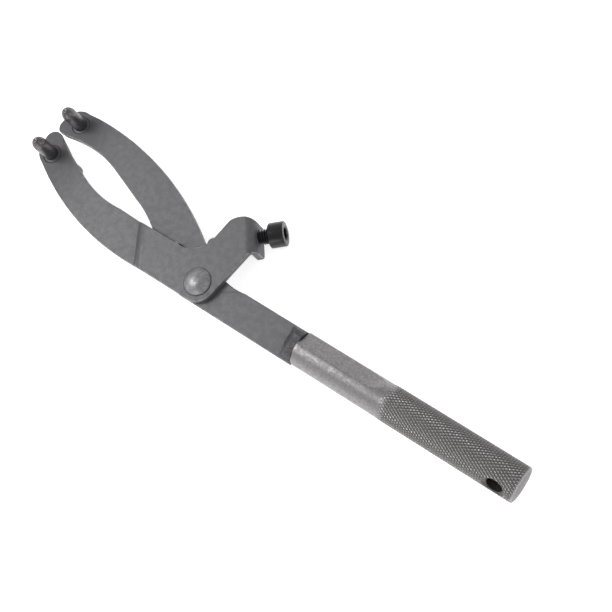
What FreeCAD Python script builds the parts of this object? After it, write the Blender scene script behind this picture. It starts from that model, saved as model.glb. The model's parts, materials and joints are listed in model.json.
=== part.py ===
"""Adjustable two-pin spanner: a flat rear arm welded to a knurled round handle,
and a joggled front arm that swings on a rivet and is set by a socket head screw.

Millimetres. The design is laid out from the pivot: X along the tool towards the
jaws, Y across it, Z along the pivot towards the side the pins stand on, with the
rear arm's mid-plane at Z = 0. At the end everything is moved so that the origin
is the middle of the underside of the whole tool's box.
"""
import FreeCAD, Part
import math
import os

Vector = FreeCAD.Vector

# Plates
plate = 3.5                 # thickness of the sheet that both arms are cut from
face_gap = 0.10             # play between the two plates, and under the rivet's head

# Handle: a round bar, plain in front and knurled behind
handle_length = 122.0
handle_radius = 8.9
handle_side = 0.7           # the bar sits this far off the pivot's line
knurl_length = 73.0
knurl_rise = 0.25           # how far the knurl's crests stand above the plain bar
handle_chamfer = 0.55
pivot_to_handle = 63.6
flat_depth = 1.5            # flat filed along the plain part
flat_tilt = 38.0            # degrees from +Z towards -Y
flat_end_margin = 4.0       # the flat stops this far before the knurl
hang_hole_radius = 4.1
hang_hole_from_end = 9.8
hang_hole_turn = 62.0       # degrees from +Z towards +Y
hang_dish_radius = 6.0      # the hole's dished mouths
hang_dish_depth = 2.0       # below the knurl's crests, measured on the hole's axis

# Rear arm: shank and fixed jaw in one plate
shank_low = 10.2            # the shank's +Y edge
shank_high = -7.6           # the shank's -Y edge

# Weld between shank and handle, a fillet on each face of the shank
weld_leg = 7.4              # along the shank
weld_height = 6.2           # up the bar's end

# Front arm
eye_radius = 10.1           # round end, half the width of the lever
body_high = -11.0           # the -Y edge of the bar between lever and jaw
lever_lean = 10.0           # degrees the lever leans back from -Y
crotch_radius = 15.0        # between the bar and the lever
joggle_place = 35.5         # middle of the joggle, measured along its own direction
joggle_turn = 30.0          # degrees of that direction from +X towards +Y
joggle_slope = 45.0         # degrees
tab_far = 7.3               # the screw's axis to the tab's far side
tab_outer = 31.1            # pivot to the tab's outer face, measured along the screw
tab_below_screw = 3.05
tab_corner = 3.0
bend_radius = 1.5           # inside every bend of the sheet
nib_width = 3.0             # stub on the bar's edge, left where the blank was broken from its sheet
nib_height = 0.9
stub_radius = 2.8           # another such stub, on the lever's edge by the crotch

# Pins
pin_radius = 3.85
pin_height = 17.9           # above the plate
pin_nose = 5.2              # length of the rounded nose
pin_flat = 1.2              # radius of the little flat at its end
pin_shoulder = 0.6          # the step from the pin down to the tenon that goes through the plate
stake_gap = 0.65            # from the pin to the ring-punched groove that grips the tenon
stake_width = 0.9
stake_depth = 0.35

# Jaws
jaw_reach = 115.3           # pivot to the rear pin, along the tool
jaw_side = -39.3            # the rear pin's place across the tool
front_pin_lead = 5.0        # the front pin stands this far ahead of the rear one
rear_tip_inside = 8.95      # rear pin to the inner edge of its jaw's tip
front_tip_inside = 12.3     # front pin to the inner edge of its jaw's tip
jaw_tip_gap = 0.35          # between the two tips, closed

# Rivet
rivet_radius = 4.5
rivet_head_radius = 7.0
rivet_head_height = 3.4
rivet_tail_radius = 6.5
rivet_tail_height = 1.6
rivet_tail_taper = 1.0
pivot_clearance = 0.06      # radial, between the rivet and the front arm's hole

# Adjusting screw, M8 socket head
screw_angle = 37.88         # degrees from +X of the way the screw points
screw_radius = 4.0
screw_bearing = 4.7         # pivot to the screw's tip, measured along the screw
screw_showing = 5.6         # thread between the tab and the head
screw_tip_chamfer = 1.2
screw_head_radius = 6.5
screw_head_height = 8.0
screw_head_chamfer = 0.7
screw_side = 21.4           # pivot to the screw's axis, measured across it
screw_top_clearance = 0.4   # between the screw and the plate above it
socket_flats = 6.0
socket_depth = 4.0
screw_clearance = 0.08      # radial, between the screw and the tab's hole

overrun = 1.0               # how far a cutting tool runs past what it cuts

rear_top = plate / 2
rear_under = -plate / 2
front_under = rear_top + face_gap
front_top = front_under + plate
screw_z = front_under - screw_top_clearance - screw_radius
screw_way = Vector(math.cos(math.radians(screw_angle)), math.sin(math.radians(screw_angle)), 0)
across_screw = Vector(screw_way.y, -screw_way.x, 0)
handle_front = -pivot_to_handle
handle_back = handle_front - handle_length
knurl_radius = handle_radius + knurl_rise
tenon_radius = pin_radius - pin_shoulder
rear_pin_place = (jaw_reach, jaw_side)
front_pin_place = (jaw_reach + front_pin_lead, jaw_side + rear_tip_inside + jaw_tip_gap + front_tip_inside)
tab_high = screw_side + tab_far
tab_drop = screw_radius + tab_below_screw - screw_z
screw_reach = tab_outer + screw_showing
far = 3 * jaw_reach         # further from the pivot than any part of the arms
up = Vector(0, 0, 1)


def outline(start, *steps):
    """A closed wire: a step is a point to go straight to, or a pair (middle, end) of an arc."""
    edges = []
    here = Vector(*start)
    for step in steps:
        if isinstance(step[0], tuple):
            middle, end = Vector(*step[0]), Vector(*step[1])
            edges.append(Part.Arc(here, middle, end).toShape())
        else:
            end = Vector(*step)
            edges.append(Part.makeLine(here, end))
        here = end
    if here.distanceToPoint(Vector(*start)) > 1e-6:
        edges.append(Part.makeLine(here, Vector(*start)))
    return Part.Wire(edges)


def prism(wire, low, high):
    """The solid over a flat outline, between two heights."""
    face = Part.Face(wire)
    face.translate(Vector(0, 0, low))
    return face.extrude(Vector(0, 0, high - low))


def turned(profile, foot, way):
    """A solid of revolution: profile is (radius, height) pairs from the axis back to the axis."""
    points = [Vector(radius, 0, height) for radius, height in profile]
    face = Part.Face(Part.makePolygon(points + points[:1]))
    solid = face.revolve(Vector(0, 0, 0), up, 360)
    solid.Placement = FreeCAD.Placement(foot, FreeCAD.Rotation(up, way))
    return solid


def on_circle(radius, degrees):
    return (radius * math.cos(math.radians(degrees)), radius * math.sin(math.radians(degrees)))


def along_screw(out, side):
    """A point in plan, by its distance out from the pivot along the screw and across it."""
    return (across_screw.x * side - screw_way.x * out, across_screw.y * side - screw_way.y * out)


def along_jaw(pin, share, side):
    """A point of a jaw's sweep: its share of the way along the tool from the joggle to the pin."""
    return (joggle_place + share * (pin[0] - joggle_place), side)


def beside(place, ahead, side):
    """A point in plan, by its distances ahead of another and to the side of it."""
    return (place[0] + ahead, place[1] + side)


def crossing(point_a, way_a, point_b, way_b):
    """Where two lines in plan cross."""
    turn = way_a[0] * way_b[1] - way_a[1] * way_b[0]
    gap = (point_b[0] - point_a[0], point_b[1] - point_a[1])
    step = (gap[0] * way_b[1] - gap[1] * way_b[0]) / turn
    return (point_a[0] + way_a[0] * step, point_a[1] + way_a[1] * step)


def rounded_corner(corner, way_a, way_b, radius):
    """Start, middle and end of the arc that rounds a corner between two unit directions."""
    half = math.acos(way_a[0] * way_b[0] + way_a[1] * way_b[1]) / 2
    reach = radius / math.tan(half)
    inside = radius / math.sin(half) - radius
    between = Vector(way_a[0] + way_b[0], way_a[1] + way_b[1], 0).normalize()
    return ((corner[0] + way_a[0] * reach, corner[1] + way_a[1] * reach),
            (corner[0] + between.x * inside, corner[1] + between.y * inside),
            (corner[0] + way_b[0] * reach, corner[1] + way_b[1] * reach))


def pin_hole(place):
    """The hole for the pin's tenon, and the groove that a ring punch leaves round it."""
    inner = pin_radius + stake_gap
    outer = inner + stake_width
    groove = turned([(inner, rear_top + stake_depth), (inner, rear_top),
                     ((inner + outer) / 2, rear_top - stake_depth), (outer, rear_top),
                     (outer, rear_top + stake_depth)], Vector(*place), up)
    return groove.fuse(Part.makeCylinder(tenon_radius, plate, Vector(*place, rear_under)))


def rear_arm():
    """Shank and fixed jaw: one flat plate, with holes for the rivet and the pin."""
    pin = rear_pin_place
    wire = outline(
        (handle_front, shank_high),
        (-24.0, shank_high),
        ((-9.5, shank_high - 0.6), along_screw(screw_bearing + 3.7, screw_side - 13.8)),
        along_screw(screw_bearing - 1.6, screw_side - 0.1),
        (along_jaw(pin, 0.165, -37.9), along_jaw(pin, 0.704, jaw_side - 7.6)),
        (beside(pin, -12.3, -8.2), beside(pin, -0.8, -7.8)),
        (beside(pin, 9.0, -4.1), beside(pin, 11.6, 3.3)),
        (beside(pin, 11.4, 6.8), beside(pin, 9.5, rear_tip_inside)),
        beside(pin, 4.2, rear_tip_inside + 0.2),
        (beside(pin, -11.3, 7.6), along_jaw(pin, 0.561, jaw_side + 11.8)),
        along_jaw(pin, 0.308, -20.2),
        ((joggle_place + 7.1, -12.2), (joggle_place - 7.5, 0.0)),
        ((14.5, shank_low - 1.5), (2.0, shank_low)),
        (handle_front, shank_low),
    )
    solid = prism(wire, rear_under, rear_top)
    solid = solid.cut(Part.makeCylinder(rivet_radius, plate, Vector(0, 0, rear_under)))
    return solid.cut(pin_hole(rear_pin_place))


def crotch_corner():
    """Start, middle and end of the arc that rounds the corner between the front arm's bar and lever."""
    lean = math.radians(lever_lean)
    lever_way = (-math.sin(lean), -math.cos(lean))
    left = (math.cos(lean) * eye_radius, -math.sin(lean) * eye_radius)
    crotch = crossing(left, lever_way, (0.0, body_high), (1.0, 0.0))
    return rounded_corner(crotch, (1.0, 0.0), lever_way, crotch_radius)


def front_outline():
    """Plan of the front arm: round end, bar, jaw, and the lever run on past its tab."""
    lean = math.radians(lever_lean)
    lever_way = (-math.sin(lean), -math.cos(lean))
    left = (math.cos(lean) * eye_radius, -math.sin(lean) * eye_radius)
    right = (-left[0], -left[1])
    bar_end, crotch_middle, lever_start = crotch_corner()
    pin = front_pin_place
    past_tab = tab_outer + plate
    inner_face = along_screw(tab_outer - plate, 0.0)
    notch = crossing(right, lever_way, inner_face, (across_screw.x, across_screw.y))
    low_end = beside(notch, -2 * plate * screw_way.x, -2 * plate * screw_way.y)
    return outline(
        (0.0, eye_radius),
        (joggle_place + 2.5, eye_radius),
        (along_jaw(pin, 0.548, eye_radius - 4.2), beside(pin, -2.5, 9.8)),
        beside(pin, 3.7, 6.4),
        (beside(pin, 9.3, 0.7), beside(pin, 9.7, -5.8)),
        (beside(pin, 8.2, 1.6 - front_tip_inside), beside(pin, 4.9, -front_tip_inside)),
        (beside(pin, 3.7, 0.2 - front_tip_inside), beside(pin, 2.5, 0.7 - front_tip_inside)),
        beside(pin, -10.1, -4.9),
        beside(pin, -16.6, -2.1),
        (beside(pin, -19.3, -2.0), beside(pin, -21.8, 0.2)),
        (along_jaw(pin, 0.548, body_high - 1.4), along_jaw(pin, 0.336, body_high - 0.5)),
        (joggle_place + 14.5, body_high),
        beside(bar_end, nib_width + 0.2, 0.0),
        (beside(bar_end, nib_width / 2 + 0.2, -nib_height), beside(bar_end, 0.2, 0.0)),
        bar_end,
        (crotch_middle, lever_start),
        along_screw(tab_outer - 13.2, tab_high + 1.4),
        (along_screw(tab_outer - 7.5, tab_high + 2.6), along_screw(tab_outer, tab_high)),
        along_screw(past_tab, tab_high),
        low_end,
        notch,
        right,
        (on_circle(eye_radius, 130.0), (0.0, eye_radius)),
    )


def bent_sheet(profile, turn):
    """A strip of bent sheet: its profile runs out along X, turned about the pivot by an angle."""
    sheet = Part.Face(profile).extrude(Vector(0, 2 * far, 0))
    sheet.translate(Vector(0, -far, 0))
    sheet.rotate(Vector(0, 0, 0), up, turn)
    return sheet


def joggle_profile():
    """Side view of the bar: level, down the joggle's slope between two bends, and level again."""
    slope = math.radians(joggle_slope)
    half = slope / 2
    outer = bend_radius + plate
    drop = front_top - rear_top
    straight = (drop - (outer + bend_radius) * (1 - math.cos(slope))) / math.sin(slope)
    run = (outer + bend_radius) * math.sin(slope) + straight * math.cos(slope)
    first = joggle_place - run / 2
    second = joggle_place + run / 2
    low = front_under - bend_radius
    high = rear_top + bend_radius

    def arc(centre, height, radius, sign):
        """Three points of a bend: over its centre with sign 1, under it with sign -1."""
        return [(centre + sign * radius * math.sin(turn), 0, height + sign * radius * math.cos(turn))
                for turn in (0, half, slope)]

    top_a, top_b = arc(first, low, outer, 1), arc(second, high, bend_radius, -1)
    under_a, under_b = arc(first, low, bend_radius, 1), arc(second, high, outer, -1)
    return outline((-far, 0, front_top), top_a[0], (top_a[1], top_a[2]), top_b[2], (top_b[1], top_b[0]),
                   (far, 0, rear_top), (far, 0, rear_under), under_b[0], (under_b[1], under_b[2]),
                   under_a[2], (under_a[1], under_a[0]), (-far, 0, front_under))


def front_arm():
    """Joggled arm: its jaw is set down level with the rear jaw, its lever ends in a bent tab."""
    bar = bent_sheet(joggle_profile(), joggle_turn)
    bend_start = tab_outer - plate - bend_radius
    bend_z = front_under - bend_radius
    half = math.sqrt(0.5)
    outer_radius = bend_radius + plate
    tab = bent_sheet(outline((bend_start, 0, front_under),
                             ((bend_start + bend_radius * half, 0, bend_z + bend_radius * half),
                              (bend_start + bend_radius, 0, bend_z)),
                             (bend_start + bend_radius, 0, -tab_drop), (tab_outer, 0, -tab_drop),
                             (tab_outer, 0, bend_z),
                             ((bend_start + outer_radius * half, 0, bend_z + outer_radius * half),
                              (bend_start, 0, front_top))), 180.0 + screw_angle)
    beyond = bent_sheet(outline((bend_start, 0, -far), (far, 0, -far), (far, 0, far),
                                (bend_start, 0, far)), 180.0 + screw_angle)
    stub_place = beside(crotch_corner()[2], -0.9, 3.0)
    stub = Part.makeCylinder(stub_radius, 2 * far, Vector(*stub_place, -far))
    plan = prism(front_outline(), -far, far).fuse(stub).removeSplitter()
    tab = tab.common(plan)
    tab = tab.makeFillet(tab_corner, tab_corner_edges(tab))
    solid = bar.cut(beyond).common(plan).fuse(tab).removeSplitter()
    solid = solid.cut(Part.makeCylinder(rivet_radius + pivot_clearance, plate, Vector(0, 0, front_under)))
    solid = solid.cut(screw_bore())
    return solid.cut(pin_hole(front_pin_place))


def tab_corner_edges(tab):
    """The tab's two lower corners, where its sides meet its bottom edge through the sheet."""
    corners = []
    for edge in tab.Edges:
        low = abs(edge.BoundBox.ZMax + tab_drop) < 1e-4
        if low and abs(edge.Length - plate) < 1e-3:
            corners.append(edge)
    return corners


def screw_point(out):
    """A point on the screw's axis, by its distance out from the pivot along the screw."""
    x, y = along_screw(out, screw_side)
    return Vector(x, y, screw_z)


def screw_bore():
    """The clearance hole that stands for the tab's thread."""
    start = screw_point(tab_outer + overrun)
    return Part.makeCylinder(screw_radius + screw_clearance, plate + 2 * overrun, start, screw_way)


def adjusting_screw():
    """Socket head screw: the profile is turned from the head's top down to the chamfered tip."""
    tip = screw_head_height + screw_reach - screw_bearing
    profile = [(0, 0), (screw_head_radius - screw_head_chamfer, 0),
               (screw_head_radius, screw_head_chamfer), (screw_head_radius, screw_head_height),
               (screw_radius, screw_head_height), (screw_radius, tip - screw_tip_chamfer),
               (screw_radius - screw_tip_chamfer, tip), (0, tip)]
    solid = turned(profile, Vector(0, 0, 0), up)
    corner = socket_flats / math.sqrt(3)
    hexagon = Part.makePolygon([Vector(*on_circle(corner, 60 * i)) for i in range(7)])
    solid = solid.cut(prism(hexagon, 0, socket_depth))
    top = screw_point(screw_reach + screw_head_height)
    solid.Placement = FreeCAD.Placement(top, FreeCAD.Rotation(up, screw_way))
    return solid


def face_pin(place):
    """Hardened pin: a tenon through the plate, and a nose rounded by an arc that leaves the wall smoothly."""
    top = rear_top + pin_height
    shoulder = top - pin_nose
    inset = pin_radius - pin_flat
    nose_radius = (inset ** 2 + pin_nose ** 2) / (2 * inset)
    half = math.asin(pin_nose / nose_radius) / 2
    wire = Part.Wire([
        Part.makeLine(Vector(0, 0, rear_under), Vector(tenon_radius, 0, rear_under)),
        Part.makeLine(Vector(tenon_radius, 0, rear_under), Vector(tenon_radius, 0, rear_top)),
        Part.makeLine(Vector(tenon_radius, 0, rear_top), Vector(pin_radius, 0, rear_top)),
        Part.makeLine(Vector(pin_radius, 0, rear_top), Vector(pin_radius, 0, shoulder)),
        Part.Arc(Vector(pin_radius, 0, shoulder),
                 Vector(pin_radius - nose_radius * (1 - math.cos(half)), 0,
                        shoulder + nose_radius * math.sin(half)),
                 Vector(pin_flat, 0, top)).toShape(),
        Part.makeLine(Vector(pin_flat, 0, top), Vector(0, 0, top)),
        Part.makeLine(Vector(0, 0, top), Vector(0, 0, rear_under)),
    ])
    solid = Part.Face(wire).revolve(Vector(0, 0, 0), up, 360)
    solid.translate(Vector(*place))
    return solid


def pivot_rivet():
    """Domed rivet: tight in the rear arm, a running fit in the front arm."""
    head = front_top + face_gap
    dome_top = head + rivet_head_height
    dome_radius = (rivet_head_radius ** 2 + rivet_head_height ** 2) / (2 * rivet_head_height)
    half = math.asin(rivet_head_radius / dome_radius) / 2
    tail = rear_under - rivet_tail_height
    tail_face = rivet_tail_radius - rivet_tail_taper
    wire = Part.Wire([
        Part.makeLine(Vector(0, 0, tail), Vector(tail_face, 0, tail)),
        Part.makeLine(Vector(tail_face, 0, tail), Vector(rivet_tail_radius, 0, rear_under)),
        Part.makeLine(Vector(rivet_tail_radius, 0, rear_under), Vector(rivet_radius, 0, rear_under)),
        Part.makeLine(Vector(rivet_radius, 0, rear_under), Vector(rivet_radius, 0, head)),
        Part.makeLine(Vector(rivet_radius, 0, head), Vector(rivet_head_radius, 0, head)),
        Part.Arc(Vector(rivet_head_radius, 0, head),
                 Vector(dome_radius * math.sin(half), 0, dome_top - dome_radius * (1 - math.cos(half))),
                 Vector(0, 0, dome_top)).toShape(),
        Part.makeLine(Vector(0, 0, dome_top), Vector(0, 0, tail)),
    ])
    return Part.Face(wire).revolve(Vector(0, 0, 0), up, 360)


def handle():
    """Round bar: knurled behind, filed flat along one side in front, drilled to hang."""
    knurl_start = handle_back + knurl_length
    step = knurl_radius - handle_radius
    along = Vector(1, 0, 0)
    foot = Vector(0, handle_side, 0)
    profile = [(0, handle_back), (knurl_radius - handle_chamfer, handle_back),
               (knurl_radius, handle_back + handle_chamfer), (knurl_radius, knurl_start - step),
               (handle_radius, knurl_start), (handle_radius, handle_front - handle_chamfer),
               (handle_radius - handle_chamfer, handle_front), (0, handle_front)]
    bar = turned(profile, foot, along)
    length = handle_front - knurl_start - flat_end_margin
    width = 2 * handle_radius
    block = Part.makeBox(length, width, width, Vector(handle_front - length, -width / 2,
                                                      handle_radius - flat_depth))
    block.rotate(Vector(0, 0, 0), along, flat_tilt)
    block.translate(foot)
    bar = bar.cut(block)
    middle = Vector(handle_back + hang_hole_from_end, handle_side, 0)
    turn = math.radians(hang_hole_turn)
    for way in (Vector(0, math.sin(turn), math.cos(turn)), Vector(0, -math.sin(turn), -math.cos(turn))):
        bar = bar.cut(Part.makeCylinder(hang_hole_radius, 2 * handle_radius, middle, way))
        slope = (hang_dish_radius - hang_hole_radius) / hang_dish_depth
        mouth = middle + way * (knurl_radius - hang_dish_depth)
        bar = bar.cut(Part.makeCone(hang_hole_radius, hang_hole_radius + 2 * hang_dish_depth * slope,
                                    2 * hang_dish_depth, mouth, way))
    return bar


def handle_weld():
    """Two fillet beads, each a quarter of an ellipse in section, where the shank meets the bar."""
    bar = Part.makeCylinder(handle_radius - handle_chamfer, 2 * weld_leg,
                            Vector(handle_front, handle_side, 0), Vector(1, 0, 0))
    quarter = math.sqrt(0.5)
    bead = Part.Wire([
        Part.makeLine(Vector(handle_front, 0, rear_top), Vector(handle_front + weld_leg, 0, rear_top)),
        Part.Arc(Vector(handle_front + weld_leg, 0, rear_top),
                 Vector(handle_front + weld_leg * quarter, 0, rear_top + weld_height * quarter),
                 Vector(handle_front, 0, rear_top + weld_height)).toShape(),
        Part.makeLine(Vector(handle_front, 0, rear_top + weld_height), Vector(handle_front, 0, rear_top)),
    ])
    strip = Part.Face(bead).extrude(Vector(0, 2 * handle_radius, 0))
    strip.translate(Vector(0, handle_side - handle_radius, 0))
    top = strip.common(bar)
    return Part.makeCompound([top, top.mirror(Vector(0, 0, 0), up)])


def write_parts():
    """Builds every node, moves them all to the tool's own origin and writes one file for each."""
    nodes = {
        "rear_arm": rear_arm(),
        "front_arm": front_arm(),
        "rear_pin": face_pin(rear_pin_place),
        "front_pin": face_pin(front_pin_place),
        "pivot_rivet": pivot_rivet(),
        "adjusting_screw": adjusting_screw(),
        "handle": handle(),
        "handle_weld": handle_weld(),
    }
    box = Part.makeCompound(list(nodes.values())).optimalBoundingBox(False)
    home = Vector(-(box.XMin + box.XMax) / 2, -(box.YMin + box.YMax) / 2, -box.ZMin)
    os.makedirs("parts", exist_ok=True)
    for name, shape in nodes.items():
        shape.translate(home)
        shape.exportStep("parts/" + name + ".step")
        print(name, "solids", len(shape.Solids), "volume %.1f" % shape.Volume, "valid", shape.isValid())
    print("size %.2f x %.2f x %.2f" % (box.XLength, box.YLength, box.ZLength))
    print("pivot (%.3f, %.3f, %.3f)" % tuple(home))
    for name, point in (("rear pin foot", Vector(*rear_pin_place, rear_top)),
                        ("front pin foot", Vector(*front_pin_place, rear_top)),
                        ("hang hole", Vector(handle_back + hang_hole_from_end, handle_side, 0)),
                        ("handle end", Vector(handle_back, handle_side, 0)),
                        ("screw head", screw_point(screw_reach + screw_head_height))):
        print(name, "(%.3f, %.3f, %.3f)" % tuple(point + home))


write_parts()
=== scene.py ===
"""An adjustable two-pin spanner, lying with its pins up: the looks built round its CAD frame.

The sections follow the tool as it is put together: the two arms, their pins, the rivet they turn on,
the adjusting screw, the handle and its weld, and last the studio.
"""
import bmesh
import bpy
import json
import math
import numpy as np
from mathutils import Matrix, Vector


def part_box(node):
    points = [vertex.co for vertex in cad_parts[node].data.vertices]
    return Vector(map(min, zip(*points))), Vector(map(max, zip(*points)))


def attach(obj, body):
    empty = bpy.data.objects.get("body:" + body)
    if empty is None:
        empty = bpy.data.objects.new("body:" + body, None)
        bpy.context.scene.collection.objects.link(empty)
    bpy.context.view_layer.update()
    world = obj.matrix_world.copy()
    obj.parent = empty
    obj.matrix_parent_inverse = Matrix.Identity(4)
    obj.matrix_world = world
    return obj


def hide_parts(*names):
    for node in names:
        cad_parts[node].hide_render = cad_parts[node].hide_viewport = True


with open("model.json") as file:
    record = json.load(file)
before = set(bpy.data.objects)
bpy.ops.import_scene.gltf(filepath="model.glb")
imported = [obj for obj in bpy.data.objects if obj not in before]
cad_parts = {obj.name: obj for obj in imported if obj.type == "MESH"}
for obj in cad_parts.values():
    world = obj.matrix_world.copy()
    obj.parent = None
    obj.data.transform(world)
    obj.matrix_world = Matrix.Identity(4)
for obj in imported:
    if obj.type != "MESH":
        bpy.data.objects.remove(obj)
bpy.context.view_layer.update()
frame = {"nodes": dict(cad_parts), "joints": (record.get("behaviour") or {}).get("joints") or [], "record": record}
pivot = Vector(frame["joints"][0]["pos_m"])
mounts = {mount["name"]: mount for mount in frame["record"]["mounts"]}

# ---------------------------------------------------------------------------------------------
# Rear arm. Shank and fixed jaw are one blank, punched from steel sheet and phosphated dark grey.
# The punch rolls the sheet's edges over, and handling rubs the rolled edges bright.
# ---------------------------------------------------------------------------------------------
sheet_roll = 0.0005                                       # radius of the rolled edges
roll_steps = 4
corner_turn = math.radians(30)                            # an edge that turns by more is rolled
blend_turn = math.radians(40)                             # an edge that turns by less is shaded smooth
flat_area = 60e-6                                         # a larger face is one of the sheet's flats
same_point = 2e-6
same_plane = math.radians(0.5)
pin_zone = 0.0062                                         # the edges stay sharp this near a pin's middle
rivet_zone = 1.2 * pin_zone


def add(tree, kind, settings=None, **sockets):
    """Adds a shader node. A keyword names an input socket, and gives its value or what feeds it."""
    made = tree.nodes.new("ShaderNode" + kind)
    for name, value in (settings or {}).items():
        setattr(made, name, value)
    for name, value in sockets.items():
        socket = made.inputs[name.replace("_", " ")]
        if isinstance(value, bpy.types.NodeSocket):
            tree.links.new(value, socket)
        else:
            socket.default_value = value
    return made


def maths(tree, operation, first, second=0.0, clamp=False):
    """The output of a Math node with two operands, each a number or a socket."""
    made = tree.nodes.new("ShaderNodeMath")
    made.operation = operation
    made.use_clamp = clamp
    for socket, value in zip(made.inputs, (first, second)):
        if isinstance(value, bpy.types.NodeSocket):
            tree.links.new(value, socket)
        else:
            socket.default_value = value
    return made.outputs[0]


def step(tree, value, low, high, at_low=0.0, at_high=1.0):
    """A smooth step: at_low while the value is under low, at_high once it is over high."""
    made = add(tree, "MapRange", {"interpolation_type": "SMOOTHSTEP"}, Value=value)
    for socket, number in zip(made.inputs[1:5], (low, high, at_low, at_high)):
        socket.default_value = number
    return made.outputs["Result"]


def mixed(tree, share, first, second):
    """Two colours mixed by a share: the colours are numbers or sockets."""
    made = tree.nodes.new("ShaderNodeMix")
    made.data_type = "RGBA"
    tree.links.new(share, made.inputs[0])
    for socket, value in ((made.inputs[6], first), (made.inputs[7], second)):
        if isinstance(value, bpy.types.NodeSocket):
            tree.links.new(value, socket)
        else:
            socket.default_value = (*value, 1.0)
    return made.outputs[2]


def noise(tree, size, detail=3.0, roughness=0.6, stretch=None):
    """Noise with lumps of about the given size, in metres, fixed to the piece."""
    place = add(tree, "TexCoord").outputs["Object"]
    if stretch:
        place = add(tree, "Mapping", Vector=place, Scale=stretch).outputs[0]
    return add(tree, "TexNoise", Vector=place, Scale=1 / size, Detail=detail,
               Roughness=roughness).outputs["Fac"]


def mottled_steel(name, dark, light, metallic, rough, smooth, patch, grain, depth):
    """Steel whose colour and gloss drift together, by 0.6 of a noise of patches and 0.4 of a noise of
    grains, drawn apart by a smooth step. The grains raise a bump as well."""
    material = bpy.data.materials.new(name)
    material.use_nodes = True
    tree = material.node_tree
    shader = tree.nodes["Principled BSDF"]
    grains = noise(tree, grain, 2.0, 0.55)
    patches = noise(tree, patch, 4.0, 0.6)
    shade = maths(tree, "ADD", maths(tree, "MULTIPLY", patches, 0.6),
                  maths(tree, "MULTIPLY", grains, 0.4))
    shade = step(tree, shade, 0.38, 0.62)
    tree.links.new(mixed(tree, shade, dark, light), shader.inputs["Base Color"])
    tree.links.new(step(tree, shade, 0.0, 1.0, rough, smooth), shader.inputs["Roughness"])
    bump = add(tree, "Bump", Height=grains, Strength=0.6, Distance=depth)
    tree.links.new(bump.outputs[0], shader.inputs["Normal"])
    shader.inputs["Metallic"].default_value = metallic
    return material


def tint(tree, mask, colour):
    """Lays a colour over the steel where the mask is 1."""
    base = tree.nodes["Principled BSDF"].inputs["Base Color"]
    tree.links.new(mixed(tree, mask, base.links[0].from_socket, colour), base)


def gloss(tree, mask, change):
    """Adds a change to the steel's roughness where the mask is 1."""
    rough = tree.nodes["Principled BSDF"].inputs["Roughness"]
    changed = maths(tree, "ADD", rough.links[0].from_socket, maths(tree, "MULTIPLY", mask, change))
    tree.links.new(changed, rough)


def rolled_sheet(piece_name, node_name, sharp_places):
    """A sheet part with rolled edges. The loose triangles of its solid are merged, level neighbours are
    joined, and each corner edge becomes a quarter round, except within the radius of a sharp place, given
    as (middle, radius). The attribute "worn" is 1 at points wholly inside the rounds, and 0 elsewhere."""
    shape = bmesh.new()
    shape.from_mesh(frame["nodes"][node_name].data)
    bmesh.ops.remove_doubles(shape, verts=shape.verts, dist=same_point)
    bmesh.ops.dissolve_limit(shape, angle_limit=same_plane, verts=shape.verts, edges=shape.edges)

    def rolled(edge):
        middle = (edge.verts[0].co + edge.verts[1].co) / 2
        away = all((middle - place).length > radius for place, radius in sharp_places)
        return away and edge.calc_face_angle(0.0) > corner_turn

    made = bmesh.ops.bevel(shape, geom=[edge for edge in shape.edges if rolled(edge)],
                           offset=sheet_roll, offset_type="OFFSET", segments=roll_steps, profile=0.5,
                           affect="EDGES", clamp_overlap=False)
    rounds = set(made["faces"])
    worn = shape.verts.layers.float.new("worn")
    for vertex in shape.verts:
        vertex[worn] = float(all(face in rounds for face in vertex.link_faces))
    for edge in shape.edges:
        small = all(face.calc_area() < flat_area for face in edge.link_faces)
        edge.smooth = small and edge.calc_face_angle(0.0) < blend_turn
    for face in shape.faces:
        face.smooth = True
    mesh = bpy.data.meshes.new(piece_name)
    shape.to_mesh(mesh)
    shape.free()
    piece = bpy.data.objects.new(piece_name, mesh)
    bpy.context.scene.collection.objects.link(piece)
    return piece


def foot_of(mount_name):
    """Where a pin goes through the middle of its plate, and how far round it the edges stay sharp."""
    place = mounts[mount_name]["pos_m"]
    return Vector((place[0], place[1], pivot.z)), pin_zone


phosphated = mottled_steel(
    "phosphated_sheet", dark=(0.116, 0.113, 0.121), light=(0.134, 0.131, 0.139), metallic=0.5,
    rough=0.54, smooth=0.48, patch=0.0030, grain=0.0005, depth=0.00006)
phosphated_tree = phosphated.node_tree

# painted shadow: a dark ring on the sheet round the rivet's head, where its rim overhangs the plate
rivet_shadow_grey = (0.028, 0.027, 0.029)
shadow_near, shadow_far = 0.0070, 0.0080                      # from the rivet's axis
round_rivet = add(phosphated_tree, "Mapping", Vector=add(phosphated_tree, "TexCoord").outputs["Object"],
                  Location=(-pivot.x, -pivot.y, 0.0), Scale=(1.0, 1.0, 0.0)).outputs[0]
round_rivet = add(phosphated_tree, "VectorMath", {"operation": "LENGTH"},
                  Vector=round_rivet).outputs["Value"]
tint(phosphated_tree, step(phosphated_tree, round_rivet, shadow_near, shadow_far, 0.8, 0.0), rivet_shadow_grey)

# the sheet darkens along the jaws, towards the pins
jaw_grey = (0.062, 0.059, 0.062)
jaw_start, jaw_full = pivot.x + 0.080, pivot.x + 0.118
along_jaw = add(phosphated_tree, "SeparateXYZ",
                Vector=add(phosphated_tree, "TexCoord").outputs["Object"]).outputs[0]
tint(phosphated_tree, step(phosphated_tree, along_jaw, jaw_start, jaw_full, 0.0, 0.6), jaw_grey)

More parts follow.
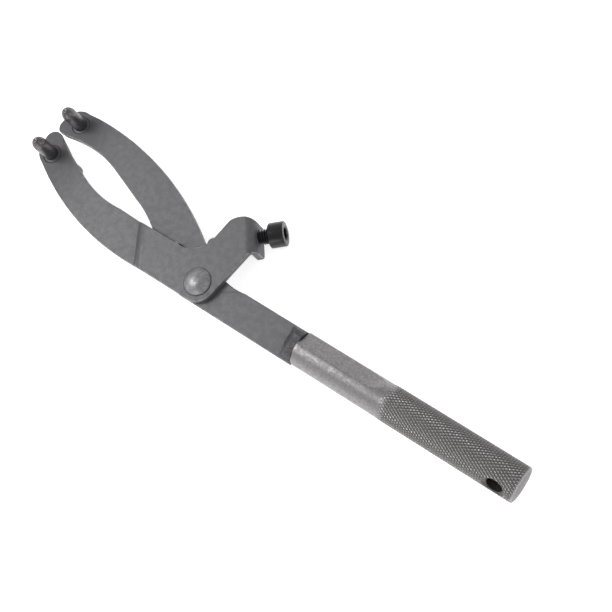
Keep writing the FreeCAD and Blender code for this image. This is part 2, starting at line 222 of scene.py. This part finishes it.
# the rolled edges are rubbed bright in places
rubbed_grey = (0.27, 0.265, 0.275)
rub_patch = 0.003
rub = add(phosphated_tree, "Attribute", {"attribute_name": "worn"}).outputs["Fac"]
rub = maths(phosphated_tree, "MULTIPLY", step(phosphated_tree, rub, 0.1, 0.9),
            step(phosphated_tree, noise(phosphated_tree, rub_patch), 0.35, 0.6, 0.35, 1.0))
tint(phosphated_tree, rub, rubbed_grey)
gloss(phosphated_tree, rub, -0.10)

# fine scuffs run lengthwise, in a few patches
scuff_grey = (0.24, 0.235, 0.24)
scuff_wide, scuff_stretch, scuff_patch = 0.0006, (0.06, 1.0, 1.0), 0.012
scuffs = noise(phosphated_tree, scuff_wide, 2.0, 0.5, scuff_stretch)
scuffs = maths(phosphated_tree, "MULTIPLY", step(phosphated_tree, scuffs, 0.66, 0.74),
               step(phosphated_tree, noise(phosphated_tree, scuff_patch), 0.5, 0.62))
tint(phosphated_tree, maths(phosphated_tree, "MULTIPLY", scuffs, 0.4), scuff_grey)

rear_arm = rolled_sheet("rear_arm_plate", "rear_arm", [foot_of("rear_face_pin"), (pivot, rivet_zone)])
rear_arm.data.materials.append(phosphated)
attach(rear_arm, "fixed_arm")
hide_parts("rear_arm")

# ---------------------------------------------------------------------------------------------
# Front arm. It is cut from the same sheet, joggled so that its jaw lies level with the rear one,
# and its lever ends in a tab bent down square, which carries the adjusting screw.
# ---------------------------------------------------------------------------------------------
screw_way = Vector(frame["joints"][1]["axis"])            # the way the screw backs out
screw_points = np.empty(len(frame["nodes"]["adjusting_screw"].data.vertices) * 3)
frame["nodes"]["adjusting_screw"].data.vertices.foreach_get("co", screw_points)
screw_points = screw_points.reshape(-1, 3)
screw_side = Vector((-screw_way.y, screw_way.x, 0.0))
screw_out = screw_points @ np.array(screw_way)
screw_across = screw_points @ np.array(screw_side)
screw_height = screw_points[:, 2]
screw_axis = screw_side * float(screw_across.min() + screw_across.max()) / 2
screw_axis.z = float(screw_height.min() + screw_height.max()) / 2
screw_top = screw_axis + screw_way * float(screw_out.max())
hole_from_top = 0.0155                                    # from the screw's top to the tab's middle
screw_hole = screw_axis + screw_way * (float(screw_out.max()) - hole_from_top)
screw_zone = 0.0052                                       # the edges stay sharp this near the hole
tab_notch = pivot + Vector((-0.01482, -0.02590, 0.0035))  # the tight corner of the tab and lever
notch_zone = 0.0016                                       # and this near that corner

front_arm = rolled_sheet("front_arm_plate", "front_arm",
                         [foot_of("front_face_pin"), (pivot, rivet_zone), (screw_hole, screw_zone),
                          (tab_notch, notch_zone)])

# the same sheet, with painted shade along the band where the joggle bends it, standing in for the shading of the
# bend's slopes
joggled = phosphated.copy()
joggled.name = "phosphated_sheet_joggle_shade"
joggle_shade_grey = (0.050, 0.049, 0.052)
joggle_lean = math.radians(30)                            # from +X to the way across the bends
joggle_way = (math.cos(joggle_lean), math.sin(joggle_lean), 0.0)
joggle_out = 0.0352                                       # from the pivot
joggle_place = pivot.dot(Vector(joggle_way)) + joggle_out
joggle_shade_core, joggle_shade_half = 0.0004, 0.0055
joggle_tree = joggled.node_tree
along_joggle = add(joggle_tree, "VectorMath", {"operation": "DOT_PRODUCT"})
joggle_tree.links.new(add(joggle_tree, "TexCoord").outputs["Object"], along_joggle.inputs[0])
along_joggle.inputs[1].default_value = joggle_way
off_joggle = maths(joggle_tree, "ABSOLUTE",
                   maths(joggle_tree, "SUBTRACT", along_joggle.outputs["Value"], joggle_place))
tint(joggle_tree, step(joggle_tree, off_joggle, joggle_shade_core, joggle_shade_half, 0.38, 0.0), joggle_shade_grey)
front_arm.data.materials.append(joggled)
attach(front_arm, "swinging_arm")
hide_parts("front_arm")

# ---------------------------------------------------------------------------------------------
# Face pins. Two hardened steel pins, turned with a bullet nose and a small centre mark in its
# end. Each has a tenon through its plate, which is staked tight by a ring punch.
# ---------------------------------------------------------------------------------------------
pin_nose = 0.0052                                         # length of the nose
pin_nose_steps = 22
pin_flat = 0.0012                                         # radius of the flat at its end
pin_tenon = 0.00325                                       # radius of the tenon
pin_foot_round = 0.00012
pin_wall_steps = 12
pin_round = 64
mark_radius, mark_depth = 0.0007, 0.0004
crease_turn = math.radians(38)                            # an edge that turns by more stays sharp


def skin(name, rings, first_pole, last_pole):
    """A closed skin over rings of points, given as (ring, place round it, coordinate). Each quad joins
    neighbours of two rings, and each end is drawn in to a pole. Rings run anticlockwise about the way
    from the first to the last."""
    count, around = rings.shape[:2]
    points = np.concatenate([rings.reshape(-1, 3), [first_pole, last_pole]])
    here = np.arange(count * around).reshape(count, around)
    beside = np.roll(here, -1, axis=1)
    quads = np.stack([here[:-1], beside[:-1], beside[1:], here[1:]], axis=-1).reshape(-1, 4)
    first, last = np.full(around, count * around), np.full(around, count * around + 1)
    start = np.stack([first, beside[0], here[0]], axis=-1)
    finish = np.stack([last, here[-1], beside[-1]], axis=-1)
    mesh = bpy.data.meshes.new(name)
    mesh.from_pydata(points.tolist(), [], quads.tolist() + start.tolist() + finish.tolist())
    mesh.shade_smooth()
    mesh.set_sharp_from_angle(angle=crease_turn)
    piece = bpy.data.objects.new(name, mesh)
    bpy.context.scene.collection.objects.link(piece)
    return piece


def turned(name, foot, way, heights, radii, around):
    """A piece turned about an axis: a ring at each height, its points at foot + height * way + radius *
    (side * cosine + cross * sine). Heights and radii are one value a ring, or one for each point of it.
    The side is square to the way, and the cross is square to both."""
    way = np.array(way, float)
    side = np.cross(way, (0.0, 0.0, 1.0) if abs(way[2]) < 0.9 else (1.0, 0.0, 0.0))
    side /= np.linalg.norm(side)
    cross = np.cross(way, side)
    angles = np.arange(around) * 2 * math.pi / around
    heights = np.array(heights, float).reshape(len(heights), -1)
    radii = np.array(radii, float).reshape(len(radii), -1)
    spokes = side * np.cos(angles)[:, None] + cross * np.sin(angles)[:, None]
    rings = np.array(foot) + heights[..., None] * way + (radii * np.ones(around))[..., None] * spokes
    ends = [np.array(foot) + heights[k].mean() * way for k in (0, -1)]
    return skin(name, rings, *ends)


def face_pin(name, mount_name, node_name, body):
    """A pin: tenon, straight wall, a nose that leaves the wall smoothly as an arc, and a centre mark. The
    arc's radius is (inset squared + nose squared) / (2 * inset), so that it ends at the flat's rim."""
    mount = mounts[mount_name]
    axis = Vector(mount["pos_m"])
    radius, half = mount["dims"]["r_mm"] / 1000, mount["dims"]["length_mm"] / 2000
    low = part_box(node_name)[0].z - axis.z
    inset = radius - pin_flat
    nose_radius = (inset ** 2 + pin_nose ** 2) / (2 * inset)
    turn = np.linspace(0, math.asin(pin_nose / nose_radius), pin_nose_steps)
    nose_heights = half + nose_radius * np.sin(turn)
    nose_radii = radius - nose_radius * (1 - np.cos(turn))
    top = half + pin_nose
    wall_heights = np.linspace(-half + 0.001, half, pin_wall_steps)[:-1]
    heights = [low, low, -half, -half, -half + pin_foot_round, *wall_heights,
               *nose_heights, top + 0.00002, top, top - mark_depth]
    radii = [pin_tenon * 0.6, pin_tenon, pin_tenon, radius - pin_foot_round, radius,
             *np.full(len(wall_heights), radius),
             *nose_radii, pin_flat * 0.8, mark_radius, mark_radius * 0.15]
    piece = turned(name, axis, (0, 0, 1), heights, radii, pin_round)
    piece.data.materials.append(hardened)
    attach(piece, body)
    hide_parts(node_name)


hardened = mottled_steel(
    "hardened_pin", dark=(0.105, 0.100, 0.102), light=(0.150, 0.144, 0.146), metallic=0.8,
    rough=0.44, smooth=0.34, patch=0.0020, grain=0.00035, depth=0.00002)
face_pin("rear_face_pin", "rear_face_pin", "rear_pin", "fixed_arm")
face_pin("front_face_pin", "front_face_pin", "front_pin", "swinging_arm")

# ---------------------------------------------------------------------------------------------
# Pivot rivet. A domed steel rivet, hammered over: its head has shallow dents and a turned-under
# rim, and its upset tail is a low cone on the back of the rear arm.
# ---------------------------------------------------------------------------------------------
rivet_round = 97
rivet_rim = 0.0005                                        # the dome's edge is turned under by this
rivet_lift = 0.0001                                       # the head stands this far off the plate
dome_steps = 34
dome_close = 0.01                                         # its last ring stands this angle off the pole
tail_radius = 0.0065
tail_shares = np.array([0.3, 0.6, 0.8, 0.845])            # of that radius, from the flat end out
tail_rise = np.array([0.0, 0.00002, 0.0001, 0.0003])
tail_round = 0.0001
shank_radius = 0.0045
dent_count = 26
dent_size = 0.0013
dent_depth = 0.00011
rivet_seed = 7


def dents(across, along, seed, count, reach, size, depth):
    """The depth of random shallow dents at points of a plane: a sum of bells, each about as wide as size
    and up to depth deep, with centres spread evenly over the reach."""
    random = np.random.default_rng(seed)
    places = random.uniform(-1, 1, (count, 2)) * reach
    sizes = size * random.uniform(0.7, 1.4, count)
    depths = depth * random.uniform(0.4, 1.0, count)
    off = (across[..., None] - places[:, 0]) ** 2 + (along[..., None] - places[:, 1]) ** 2
    return (depths * np.exp(-off / sizes ** 2)).sum(-1)


rivet_low, rivet_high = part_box("pivot_rivet")
head_radius = (rivet_high.x - rivet_low.x) / 2
head_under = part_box("front_arm")[1].z + rivet_lift
head_height = rivet_high.z - head_under
tail_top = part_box("rear_arm")[0].z
dome_radius = (head_radius ** 2 + head_height ** 2) / (2 * head_height)
dome_turn = np.linspace(math.asin((head_radius - rivet_rim) / dome_radius), dome_close, dome_steps)
dome_heights = rivet_high.z - dome_radius * (1 - np.cos(dome_turn))
dome_radii = dome_radius * np.sin(dome_turn)
rivet_angles = np.arange(rivet_round) * 2 * math.pi / rivet_round
dome_dents = dents(dome_radii[:, None] * np.cos(rivet_angles),
                   dome_radii[:, None] * np.sin(rivet_angles),
                   rivet_seed, dent_count, head_radius, dent_size, dent_depth)
tail_heights = rivet_low.z + tail_rise
wall_heights = np.array([tail_top - tail_round, tail_top, tail_top, head_under, head_under,
                         head_under + 0.5 * rivet_rim])
wall_radii = [tail_radius, tail_radius - tail_round, shank_radius, shank_radius,
              head_radius - 0.3 * rivet_rim, head_radius]
rivet_heights = np.concatenate([tail_heights[:, None] * np.ones(rivet_round),
                                wall_heights[:, None] * np.ones(rivet_round),
                                dome_heights[:, None] - dome_dents])
rivet_radii = np.concatenate([tail_shares * tail_radius, wall_radii, dome_radii])
rivet = turned("rivet", (pivot.x, pivot.y, 0.0), (0, 0, 1), rivet_heights, rivet_radii, rivet_round)
hammered = mottled_steel(
    "hammered_rivet", dark=(0.215, 0.211, 0.218), light=(0.310, 0.305, 0.313), metallic=0.75,
    rough=0.52, smooth=0.42, patch=0.0018, grain=0.0004, depth=0.00003)
rivet.data.materials.append(hammered)
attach(rivet, "fixed_arm")
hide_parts("pivot_rivet")

# ---------------------------------------------------------------------------------------------
# Adjusting screw. An M8 socket head cap screw, blackened: it is threaded to the head, runs
# through the tab, and its chamfered tip bears on the edge of the rear arm.
# ---------------------------------------------------------------------------------------------
screw_round = 96
head_long = 0.008
head_wide = 0.0065
head_round = 0.0006                                       # radius of the head's rim
under_round = 0.0003
socket_half = 0.003                                       # half the hexagon's width across its flats
socket_deep = 0.004
socket_mouth = 0.0038                                     # radius of the mouth's countersink
thread_radius = 0.004
thread_pitch = 0.00125
thread_depth = 0.00068
thread_rings = 9                                          # rings in each turn of the thread
crest_share, root_share = 0.10, 0.18                      # of the pitch, left flat on crest and root
tip_chamfer = 0.0012

screw_long = float(screw_out.max() - screw_out.min())
screw_angles = np.arange(screw_round) * 2 * math.pi / screw_round
hexagon = socket_half / np.cos((screw_angles + math.pi / 6) % (math.pi / 3) - math.pi / 6)
flat_ring = np.ones(screw_round)
socket_lip = np.maximum(hexagon, socket_mouth * 0.93 * flat_ring)
socket_rows = [(socket_deep, 0.5 * hexagon), (socket_deep, hexagon * 0.98),
               (socket_deep - 0.0002, hexagon), (0.0012, hexagon), (0.0005, hexagon),
               (0.0003, socket_lip), (0.0, socket_mouth * flat_ring)]
crown_rows = [(head_round * (1 - math.cos(turn)),
               (head_wide - head_round * (1 - math.sin(turn))) * flat_ring)
              for turn in np.linspace(0, math.pi / 2, 5)]
under_rows = [(head_long - under_round, head_wide * flat_ring),
              (head_long, (head_wide - under_round) * flat_ring),
              (head_long, (thread_radius + under_round) * flat_ring)]

# the thread: its depth is a triangle wave of the turns run, with the crests and roots cut flat
thread_depths = np.arange(head_long + 0.0002, screw_long, thread_pitch / thread_rings)
turns = thread_depths[:, None] / thread_pitch - screw_angles / (2 * math.pi)
groove_share = np.abs(turns % 1.0 * 2 - 1)
groove_share = np.clip((groove_share - crest_share) / (1 - crest_share - root_share), 0, 1)
thread_rows = thread_radius - thread_depth * groove_share
from_tip = screw_long - thread_depths
thread_rows = np.minimum(thread_rows, (thread_radius - tip_chamfer + from_tip)[:, None])
head_rows = socket_rows + crown_rows + under_rows
screw_heights = np.concatenate([[row[0] for row in head_rows], thread_depths, [screw_long]])
screw_radii = np.concatenate([[row[1] for row in head_rows], thread_rows,
                              [(thread_radius - tip_chamfer) * flat_ring]])
screw = turned("socket_screw", screw_top, -screw_way, screw_heights, screw_radii, screw_round)
blackened = mottled_steel(
    "blackened_screw", dark=(0.005, 0.005, 0.006), light=(0.009, 0.0085, 0.010), metallic=0.0,
    rough=0.30, smooth=0.23, patch=0.0016, grain=0.0003, depth=0.00001)
blackened.node_tree.nodes["Principled BSDF"].inputs["Specular IOR Level"].default_value = 0.4
screw.data.materials.append(blackened)
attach(screw, "screw")
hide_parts("adjusting_screw")

# ---------------------------------------------------------------------------------------------
# Handle. A round steel bar left bare: filed flat along one side in front, knurled with crossed
# rows behind, and cross-drilled near its end with dished mouths to hang it by.
# ---------------------------------------------------------------------------------------------
bar_round = 228
bar_radius = 0.0089
end_round = 0.0009
ring_gap = 0.0006                                         # between rings on the plain part
knurl_long = 0.073
knurl_rows = 38                                           # rows round the bar, each way
knurl_slant = math.radians(30)
knurl_depth = 0.00042
knurl_rings = 8                                           # rings along each pyramid
tip_rise = 1.15                                           # pyramids rise by this, then are cut flat
knurl_fade = 0.005                                        # the knurl runs out over this length
flat_depth = 0.0015
flat_tilt = math.radians(38)                              # from straight up towards -Y
flat_start, flat_rise = 0.010, 0.009                      # beyond the knurl, and how long it takes
flat_lift = 0.0016                                        # how far it has run out at the knurl's side
flat_waves = ((0.000063, 260, 0.0), (0.000042, 610, 1.0))  # height, radians a metre and start
knock_count = 260
knock_size = 0.0009
knock_depth = 0.00006
knock_side = 0.028                                        # middle of the knocks, round the bar
knock_reach = np.array([0.026, 0.03])                     # along the bar and round it
bar_seed = 11

bar_low, bar_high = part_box("handle")
crest_radius = (bar_high.z - bar_low.z) / 2
bar_long = bar_high.x - bar_low.x
bar_axis = Vector((bar_low.x, (bar_low.y + bar_high.y) / 2, (bar_low.z + bar_high.z) / 2))
row_gap = 2 * math.pi * crest_radius * math.cos(knurl_slant) / knurl_rows
row_long = row_gap / math.sin(knurl_slant)
end_rows = end_round * (1 - np.cos(np.linspace(0, math.pi / 2, 5)))
knurl_stations = np.arange(end_round, knurl_long, row_long / knurl_rings)
plain_stations = np.arange(knurl_stations[-1] + 0.0004, bar_long - end_round, ring_gap)
stations = np.concatenate([end_rows[:-1], knurl_stations, plain_stations, bar_long - end_rows[::-1]])
bar_angles = np.arange(bar_round) * 2 * math.pi / bar_round


def knurl_height(along, round_way):
    """Height of the knurl's pyramids, 0 to 1: two crossed families of V grooves, each a triangle wave of
    the distance across its rows, and the lower of the two counts. The tips are cut slightly flat."""
    slope = along * math.sin(knurl_slant) / row_gap
    turn = round_way * knurl_rows / (2 * math.pi)
    first, second = (np.abs((turn + sign * slope) % 1.0 * 2 - 1) for sign in (1, -1))
    return np.clip(np.minimum(first, second) * tip_rise, 0, 1)


def bar_radii(along, round_way):
    """Radius of the bar at each point: knurled behind; in front a circle cut by a flat, which is its
    distance from the axis over the cosine of the angle to it. That distance wanders by two sine waves,
    and grows by a square law where the flat runs out by the knurl. Small dents lie on the plain part."""
    shown = np.clip((knurl_long - along) / knurl_fade, 0, 1)
    crest = bar_radius + (crest_radius - bar_radius) * np.clip(shown * 2, 0, 1)
    knurled = crest - knurl_depth * shown * (1 - knurl_height(along, round_way))
    wander = sum(height * np.sin(along * pace + start) for height, pace, start in flat_waves)
    run_out = flat_lift * np.clip((knurl_long + flat_start - along) / flat_rise, 0, 1) ** 2
    off_flat = np.cos(round_way - flat_angle)
    flat = (bar_radius - flat_depth + wander + run_out) / np.maximum(off_flat, 0.05)
    plain = np.minimum(bar_radius, flat)
    plain = plain - dents(along - 0.5 * bar_long - 0.5 * knurl_long, round_way * bar_radius - knock_side,
                          bar_seed, knock_count, knock_reach, knock_size, knock_depth)
    return np.where(along < knurl_long, knurled, plain)


# turned() measures its angles from this side of the bar, so the flat's angle is taken from it too
bar_side = np.cross((1.0, 0.0, 0.0), (0.0, 0.0, 1.0))
bar_cross = np.cross((1.0, 0.0, 0.0), bar_side)
flat_way = np.array((0.0, -math.sin(flat_tilt), math.cos(flat_tilt)))
flat_angle = math.atan2(flat_way @ bar_cross, flat_way @ bar_side)
radii = bar_radii(stations[:, None], bar_angles[None, :])

# both ends are rounded over by a quarter circle
from_end = np.minimum(stations, bar_long - stations)[:, None]
arc = np.sqrt(np.maximum(end_round ** 2 - (end_round - from_end) ** 2, 0))
radii = radii - np.where(from_end < end_round, end_round - arc, 0)
handle = turned("handle_bar", bar_axis, (1, 0, 0), stations, radii, bar_round)

# the hang hole: a straight drill with a cone at each end, which leaves the dished mouths
hole = mounts["hang_hole"]
hole_radius, hole_half = hole["dims"]["r_mm"] / 1000, hole["dims"]["length_mm"] / 2000
dish_slope = 0.95
drill_half = 0.013
drill_round = 64
cone_radius = hole_radius + (drill_half - hole_half) * dish_slope
drill = turned("drill", hole["pos_m"], hole["axis"], [-drill_half, -hole_half, hole_half, drill_half],
               [cone_radius, hole_radius, hole_radius, cone_radius], drill_round)
cut = handle.modifiers.new("hang_hole", "BOOLEAN")
cut.object = drill
cut.operation = "DIFFERENCE"
cut.solver = "EXACT"
drilled = bpy.data.meshes.new_from_object(handle.evaluated_get(bpy.context.evaluated_depsgraph_get()))
handle.modifiers.clear()
handle.data = drilled
bpy.data.objects.remove(drill)

bare = mottled_steel(
    "bare_bar", dark=(0.200, 0.194, 0.193), light=(0.285, 0.279, 0.279), metallic=0.75,
    rough=0.45, smooth=0.30, patch=0.0012, grain=0.00035, depth=0.00010)
bare_tree = bare.node_tree
bar_place = add(bare_tree, "TexCoord").outputs["Object"]
bar_place = add(bare_tree, "Mapping", Vector=bar_place, Location=(0.0, -bar_axis.y, -bar_axis.z),
                Scale=(0.0, 1.0, 1.0)).outputs[0]
bar_out = add(bare_tree, "VectorMath", {"operation": "LENGTH"}, Vector=bar_place).outputs["Value"]
bar_along = add(bare_tree, "SeparateXYZ", Vector=add(bare_tree, "TexCoord").outputs["Object"]).outputs[0]

# the knurl's grooves hold dirt, and its crests are rubbed bright
groove_dirt = (0.080, 0.073, 0.071)
crest_bright = (0.60, 0.58, 0.57)
fade_start, fade_stop = bar_low.x + knurl_long - knurl_fade, bar_low.x + knurl_long
groove = maths(bare_tree, "MULTIPLY",
               step(bare_tree, bar_out, crest_radius - knurl_depth, crest_radius - 0.1 * knurl_depth,
                    1.0, 0.0),
               step(bare_tree, bar_along, fade_start, fade_stop, 1.0, 0.0))
tint(bare_tree, maths(bare_tree, "MULTIPLY", groove, 0.9), groove_dirt)
crest = maths(bare_tree, "MULTIPLY",
              step(bare_tree, bar_out, crest_radius - 0.25 * knurl_depth,
                   crest_radius - 0.05 * knurl_depth),
              step(bare_tree, bar_along, fade_start, fade_stop, 0.7, 0.0))
tint(bare_tree, crest, crest_bright)

# painted shade in the hang hole's dished mouths, set by the distance from its axis and below the knurl
dish_shade_grey = (0.085, 0.078, 0.077)
dish_near, dish_far = 0.0055, 0.0062
from_hole = add(bare_tree, "VectorMath", {"operation": "SUBTRACT"})
bare_tree.links.new(add(bare_tree, "TexCoord").outputs["Object"], from_hole.inputs[0])
from_hole.inputs[1].default_value = hole["pos_m"]
from_hole_axis = add(bare_tree, "VectorMath", {"operation": "CROSS_PRODUCT"})
bare_tree.links.new(from_hole.outputs[0], from_hole_axis.inputs[0])
from_hole_axis.inputs[1].default_value = hole["axis"]
hole_out = add(bare_tree, "VectorMath", {"operation": "LENGTH"},
               Vector=from_hole_axis.outputs[0]).outputs["Value"]
dish = maths(bare_tree, "MULTIPLY", step(bare_tree, hole_out, dish_near, dish_far, 0.7, 0.0),
             step(bare_tree, bar_out, crest_radius - 1.3 * knurl_depth, crest_radius - knurl_depth,
                  1.0, 0.0))
tint(bare_tree, dish, dish_shade_grey)

# painted highlight: the round at each end is lighter, as the bright line along its rim
rim_highlight = (0.42, 0.41, 0.41)
rim_near, rim_far = 0.0078, 0.0083                        # from the bar's axis
knurled_rim = (bar_low.x + 0.0006, bar_low.x + 0.0011)
plain_rim = (bar_high.x - 0.0008, bar_high.x - 0.0004)
near_end = maths(bare_tree, "ADD", step(bare_tree, bar_along, *knurled_rim, 1.0, 0.0),
                 step(bare_tree, bar_along, *plain_rim), clamp=True)
rim = maths(bare_tree, "MULTIPLY", near_end, step(bare_tree, bar_out, rim_near, rim_far))
tint(bare_tree, maths(bare_tree, "MULTIPLY", rim, 0.7), rim_highlight)
handle.data.materials.clear()
handle.data.materials.append(bare)
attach(handle, "fixed_arm")
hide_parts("handle")

# ---------------------------------------------------------------------------------------------
# Weld. A fillet bead across each face of the shank, where it meets the end of the bar: dark,
# smooth and slightly rippled, with a toe that wanders along the shank.
# ---------------------------------------------------------------------------------------------
weld_low, weld_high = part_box("handle_weld")
weld_steps = 150                                          # sections along the bead
weld_curve = 18                                           # points on each section's curve
ripple = 0.00003
ripple_gap = 0.0013
weld_reach = 0.00765                                      # from the bar's end to the toe, at the middle
toe_lean = 0.00075                                        # shorter by this at +Y, longer at -Y
toe_wander = 0.0003
toe_waves = 5.5                                           # radians from the middle to each end
weld_fullness = 0.9                                       # power of the section's cosine and sine
weld_crown = 0.9                                          # height over half width, at most
weld_sunk = 0.0003                                        # how deep its back lies in bar and shank
weld_thin = 0.0003                                        # its height where it runs out


def weld_bead(name, side):
    """A fillet bead along Y. Each section is nearly a quarter ellipse, leg * cosine and height * sine to a
    power, from its toe on the shank to its top on the bar's end, and is closed inside the metal. Its
    height follows the circle of the bar, its leg leans and wanders as a sine wave, and the ripples are
    the size of another sine wave."""
    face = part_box("rear_arm")[1].z if side > 0 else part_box("rear_arm")[0].z
    across = np.linspace(weld_low.y, weld_high.y, weld_steps)
    middle = (weld_low.y + weld_high.y) / 2
    half = (weld_high.y - weld_low.y) / 2
    share = (across - middle) / half
    taper = np.sqrt(np.clip(1 - share ** 2, 0.0, 1))
    leg = weld_reach - toe_lean * share + toe_wander * np.sin(share * toe_waves + 1.0)
    crescent = ripple * np.abs(np.sin(across * math.pi / ripple_gap))
    height = (weld_high.z - weld_low.z) / 2 - abs(face - bar_axis.z)
    height = np.maximum(np.minimum(height, weld_crown * half * taper), weld_thin)
    turn = np.linspace(0, math.pi / 2, weld_curve)
    out = leg[:, None] * np.cos(turn) ** weld_fullness + crescent[:, None]
    up = height[:, None] * np.sin(turn) ** weld_fullness + crescent[:, None] * np.sin(turn)
    xs = np.concatenate([out, np.full((weld_steps, 2), -weld_sunk)], axis=1)
    zs = np.concatenate([up, up[:, -1:], np.full((weld_steps, 1), -weld_sunk)], axis=1)
    ys = across[:, None] * np.ones(xs.shape[1])
    rings = np.stack([weld_low.x + xs, ys, face + side * zs], axis=-1)
    if side > 0:
        rings = rings[:, ::-1]
    piece = skin(name, rings, rings[0].mean(0), rings[-1].mean(0))
    piece.data.materials.append(bead_steel)
    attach(piece, "fixed_arm")
    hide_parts("handle_weld")


bead_steel = mottled_steel(
    "weld_bead", dark=(0.050, 0.048, 0.051), light=(0.080, 0.077, 0.081), metallic=0.55,
    rough=0.56, smooth=0.44, patch=0.0022, grain=0.0004, depth=0.00005)
weld_bead("weld_upper", 1)
weld_bead("weld_lower", -1)

# ---------------------------------------------------------------------------------------------
# Studio. A white table, soft light from all round that is strongest low down beyond the jaws, and
# three soft boxes: a strong one high over the jaws, and weaker ones beside and behind.
# ---------------------------------------------------------------------------------------------
table_half = 3.0
paper_white = (0.9, 0.9, 0.9, 1)
paper_glow = 0.7                                          # keeps the shadows on the table pale
table_mesh = bpy.data.meshes.new("table")
table_mesh.from_pydata([(-table_half, -table_half, 0), (table_half, -table_half, 0),
                        (table_half, table_half, 0), (-table_half, table_half, 0)], [], [(0, 1, 2, 3)])
table = bpy.data.objects.new("table", table_mesh)
bpy.context.scene.collection.objects.link(table)
paper = bpy.data.materials.new("white_paper")
paper.use_nodes = True
paper_shader = paper.node_tree.nodes["Principled BSDF"]
paper_shader.inputs["Base Color"].default_value = paper_white
paper_shader.inputs["Roughness"].default_value = 0.9
paper_shader.inputs["Emission Color"].default_value = (1, 1, 1, 1)
paper_shader.inputs["Emission Strength"].default_value = paper_glow
table_mesh.materials.append(paper)

# the walls: white towards the window and the table, and grey overhead and behind
window_way = (0.5, 0.0, -0.6)
wall_grey, wall_white = (0.50, 0.50, 0.51), (1.0, 1.0, 1.0)
grey_under, white_over = -0.6, 0.2                        # of the way towards the window
wall_strength = 0.95
world = bpy.data.worlds.new("studio")
bpy.context.scene.world = world
world.use_nodes = True
sky = world.node_tree
sky_way = add(sky, "TexCoord").outputs["Generated"]
to_window = add(sky, "VectorMath", {"operation": "DOT_PRODUCT"})
sky.links.new(sky_way, to_window.inputs[0])
to_window.inputs[1].default_value = window_way
sky_light = mixed(sky, step(sky, to_window.outputs["Value"], grey_under, white_over),
                  wall_grey, wall_white)
sky.links.new(sky_light, sky.nodes["Background"].inputs["Color"])
sky.nodes["Background"].inputs["Strength"].default_value = wall_strength

box_distance = 0.9                                        # from the pivot


def soft_box(name, way, size, power):
    """A square area light on a line from the pivot, turned to face it. Power is in watts."""
    light = bpy.data.lights.new(name, "AREA")
    light.size = size
    light.energy = power
    lamp = bpy.data.objects.new(name, light)
    bpy.context.scene.collection.objects.link(lamp)
    way = Vector(way).normalized()
    facing = way.to_track_quat("Z", "Y").to_matrix().to_4x4()
    lamp.matrix_world = Matrix.Translation(pivot + way * box_distance) @ facing


soft_box("soft_box_ahead", (0.57, 0.24, 0.79), size=0.42, power=4.2)
soft_box("soft_box_beside", (-0.30, 0.94, 0.22), size=0.45, power=1.6)
soft_box("soft_box_behind", (-0.89, -0.17, 0.42), size=0.2, power=0.8)

# The camera looks down steeply, from beyond the handle's end.
camera_data = bpy.data.cameras.new("camera")
camera = bpy.data.objects.new("camera", camera_data)
bpy.context.scene.collection.objects.link(camera)
bpy.context.scene.camera = camera
camera_place = pivot + Vector((-0.253226, 0.028430, 0.475700))
camera_aim = pivot + Vector((-0.054020, -0.018060, 0.000400))
camera_roll = math.radians(44.75)
camera_data.sensor_width = 36.0                           # millimetres, as the lens
camera_data.lens = 62.94
camera_data.clip_start = 0.01
forward = (camera_aim - camera_place).normalized()
level = forward.cross(Vector((0, 0, 1))).normalized()
upright = level.cross(forward)
camera_up = upright * math.cos(camera_roll) + forward.cross(upright) * math.sin(camera_roll)
camera_right = forward.cross(camera_up)
turn = Matrix((camera_right, camera_up, -forward)).transposed().to_4x4()
camera.matrix_world = Matrix.Translation(camera_place) @ turn
bpy.context.scene.view_settings.view_transform = "Standard"
